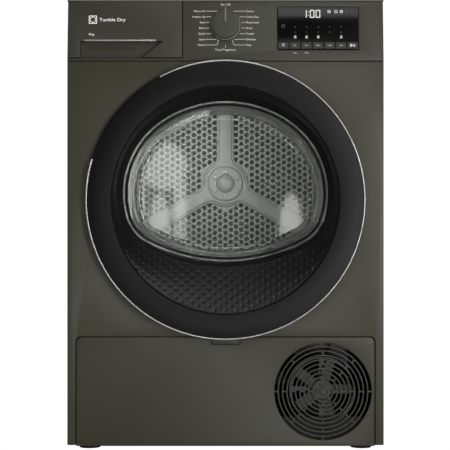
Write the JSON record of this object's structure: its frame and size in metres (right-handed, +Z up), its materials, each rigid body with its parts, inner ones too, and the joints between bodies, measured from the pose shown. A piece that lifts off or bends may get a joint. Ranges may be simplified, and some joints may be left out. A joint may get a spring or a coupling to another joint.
{
  "type": "tumble dryer",
  "caption": "Free-standing heat-pump tumble dryer with a round glazed door, control fascia, condensate drawer and kick flap.",
  "frame": {"origin": "on the floor under the middle of the cabinet's outer box", "axes": "+Z up, the door faces -Y, +X to the right seen from the front"},
  "size_m": [0.597, 0.61, 0.85],
  "materials": {
    "cabinet_paint": "satin olive-grey paint",
    "fascia_plastic": "satin olive-grey moulding",
    "flap_plastic": "satin olive-grey moulding",
    "zinc_sheet": "galvanised sheet",
    "base_plastic": "dark grey moulding",
    "display_gloss": "gloss black window",
    "mouth_plastic": "mid-grey moulding",
    "felt": "grey felt",
    "coil_aluminium": "finned coil",
    "compressor_paint": "black paint",
    "motor_metal": "cast and machined",
    "hinge_steel": "zinc plated",
    "belt_rubber": "ribbed rubber",
    "screw_steel": "zinc plated screws",
    "door_gloss": "black satin-gloss",
    "bright_trim": "bright plated",
    "door_dark": "black dimpled moulding",
    "door_glass": "clear moulded glass",
    "seal_rubber": "dark rubber",
    "knob_plastic": "satin olive",
    "tank_plastic": "translucent grey-white",
    "drum_steel": "satin stainless sheet",
    "lifter_plastic": "grey moulding",
    "roller_rubber": "rubber-tyred",
    "key_plastic": "grey-brown satin",
    "foot_rubber": "black rubber pad on a stud"
  },
  "bodies": {
    "cabinet": {"base_tray": "base_plastic", "side_panel_left": "cabinet_paint", "side_panel_right": "cabinet_paint", "rear_panel": "zinc_sheet", "rear_duct_cover": "zinc_sheet", "top_panel": "flap_plastic", "front_panel": "cabinet_paint", "control_fascia": "fascia_plastic", "display_window": "display_gloss", "front_bulkhead": "mouth_plastic", "felt_seal": "felt", "lint_filter": "mouth_plastic", "rear_bearing_bracket": "zinc_sheet", "heat_exchangers": "coil_aluminium", "compressor": "compressor_paint", "motor_housing": "motor_metal", "fan_housing": "base_plastic", "evaporator_cover": "base_plastic", "fan_shroud": "base_plastic", "door_hinge_bracket": "hinge_steel", "hinge_pin": "hinge_steel", "drive_belt": "belt_rubber", "cable_gland": "base_plastic", "panel_screws": "screw_steel"},
    "door": {"door_ring": "door_gloss", "door_trim": "bright_trim", "door_cone": "door_dark", "door_glass": "door_glass", "door_rear_shell": "door_dark", "door_seal": "seal_rubber", "door_hinge_leaf": "hinge_steel", "door_striker": "mouth_plastic"},
    "catch": {"door_catch": "mouth_plastic"},
    "programme_knob": {"knob": "knob_plastic", "knob_ring": "bright_trim"},
    "drawer": {"drawer_front": "fascia_plastic", "drawer_trim": "bright_trim", "water_tank": "tank_plastic"},
    "flap": {"kick_flap": "flap_plastic"},
    "flap_latch": {"flap_button": "flap_plastic"},
    "drum": {"drum_shell": "drum_steel", "drum_back_plate": "drum_steel", "drum_lifters": "lifter_plastic", "drum_hub": "drum_steel", "hub_screws": "screw_steel"},
    "left_roller": {"roller_left": "roller_rubber"},
    "right_roller": {"roller_right": "roller_rubber"},
    "rotor": {"motor_rotor": "motor_metal"},
    "fan": {"cooling_fan": "base_plastic"},
    "button_1": {"key_1": "key_plastic"},
    "button_2": {"key_2": "key_plastic"},
    "button_3": {"key_3": "key_plastic"},
    "button_4": {"key_4": "key_plastic"},
    "button_5": {"key_5": "key_plastic"},
    "button_6": {"key_6": "key_plastic"},
    "button_7": {"key_7": "key_plastic"},
    "levelling_front_left": {"foot_front_left": "foot_rubber"},
    "levelling_front_right": {"foot_front_right": "foot_rubber"},
    "levelling_rear_left": {"foot_rear_left": "foot_rubber"},
    "levelling_rear_right": {"foot_rear_right": "foot_rubber"}
  },
  "joints": [
    {"name": "door_hinge", "type": "hinge", "parent": "cabinet", "child": "door", "pos_m": [0.252, -0.294, 0.472], "axis": [0, 0, 1], "range_deg": [0, 160]},
    {"name": "door_catch_slide", "type": "slide", "parent": "cabinet", "child": "catch", "axis": [1, 0, 0], "range_m": [0, 0.004], "stiffness_N_per_m": 800, "springref_m": -0.002},
    {"name": "knob_turn", "type": "hinge", "parent": "cabinet", "child": "programme_knob", "pos_m": [0, -0.275, 0.8014], "axis": [0, 1, 0], "continuous": true},
    {"name": "drawer_slide", "type": "slide", "parent": "cabinet", "child": "drawer", "axis": [0, -1, 0], "range_m": [0, 0.38]},
    {"name": "flap_hinge", "type": "hinge", "parent": "cabinet", "child": "flap", "pos_m": [0, -0.27, 0.012], "axis": [1, 0, 0], "range_deg": [0, 90]},
    {"name": "flap_button_press", "type": "slide", "parent": "flap", "child": "flap_latch", "axis": [0, 1, 0], "range_m": [0, 0.003], "stiffness_N_per_m": 600},
    {"name": "drum_turn", "type": "hinge", "parent": "cabinet", "child": "drum", "pos_m": [0, 0, 0.518], "axis": [0, 1, 0], "continuous": true},
    {"name": "left_roller_turn", "type": "hinge", "parent": "cabinet", "child": "left_roller", "pos_m": [-0.1797, -0.175, 0.26136], "axis": [0, 1, 0], "continuous": true},
    {"name": "right_roller_turn", "type": "hinge", "parent": "cabinet", "child": "right_roller", "pos_m": [0.1797, -0.175, 0.26136], "axis": [0, 1, 0], "continuous": true},
    {"name": "motor_turn", "type": "hinge", "parent": "cabinet", "child": "rotor", "pos_m": [0.2, 0.09, 0.14], "axis": [0, 1, 0], "continuous": true},
    {"name": "fan_turn", "type": "hinge", "parent": "cabinet", "child": "fan", "pos_m": [0.184, -0.23, 0.111], "axis": [0, 1, 0], "continuous": true},
    {"name": "key_1_press", "type": "slide", "parent": "cabinet", "child": "button_1", "axis": [0, 1, 0], "range_m": [0, 0.001], "stiffness_N_per_m": 900},
    {"name": "key_2_press", "type": "slide", "parent": "cabinet", "child": "button_2", "axis": [0, 1, 0], "range_m": [0, 0.001], "stiffness_N_per_m": 900},
    {"name": "key_3_press", "type": "slide", "parent": "cabinet", "child": "button_3", "axis": [0, 1, 0], "range_m": [0, 0.001], "stiffness_N_per_m": 900},
    {"name": "key_4_press", "type": "slide", "parent": "cabinet", "child": "button_4", "axis": [0, 1, 0], "range_m": [0, 0.001], "stiffness_N_per_m": 900},
    {"name": "key_5_press", "type": "slide", "parent": "cabinet", "child": "button_5", "axis": [0, 1, 0], "range_m": [0, 0.001], "stiffness_N_per_m": 900},
    {"name": "key_6_press", "type": "slide", "parent": "cabinet", "child": "button_6", "axis": [0, 1, 0], "range_m": [0, 0.001], "stiffness_N_per_m": 900},
    {"name": "key_7_press", "type": "slide", "parent": "cabinet", "child": "button_7", "axis": [0, 1, 0], "range_m": [0, 0.001], "stiffness_N_per_m": 900},
    {"name": "level_front_left", "type": "slide", "parent": "cabinet", "child": "levelling_front_left", "axis": [0, 0, -1], "range_m": [0, 0.015]},
    {"name": "level_front_right", "type": "slide", "parent": "cabinet", "child": "levelling_front_right", "axis": [0, 0, -1], "range_m": [0, 0.015]},
    {"name": "level_rear_left", "type": "slide", "parent": "cabinet", "child": "levelling_rear_left", "axis": [0, 0, -1], "range_m": [0, 0.015]},
    {"name": "level_rear_right", "type": "slide", "parent": "cabinet", "child": "levelling_rear_right", "axis": [0, 0, -1], "range_m": [0, 0.015]}
  ],
  "couplings": [
    {"joint": "left_roller_turn", "follows": "drum_turn", "ratio": -9.4333},
    {"joint": "right_roller_turn", "follows": "drum_turn", "ratio": -9.4333},
    {"joint": "motor_turn", "follows": "drum_turn", "ratio": 31.444}
  ]
}
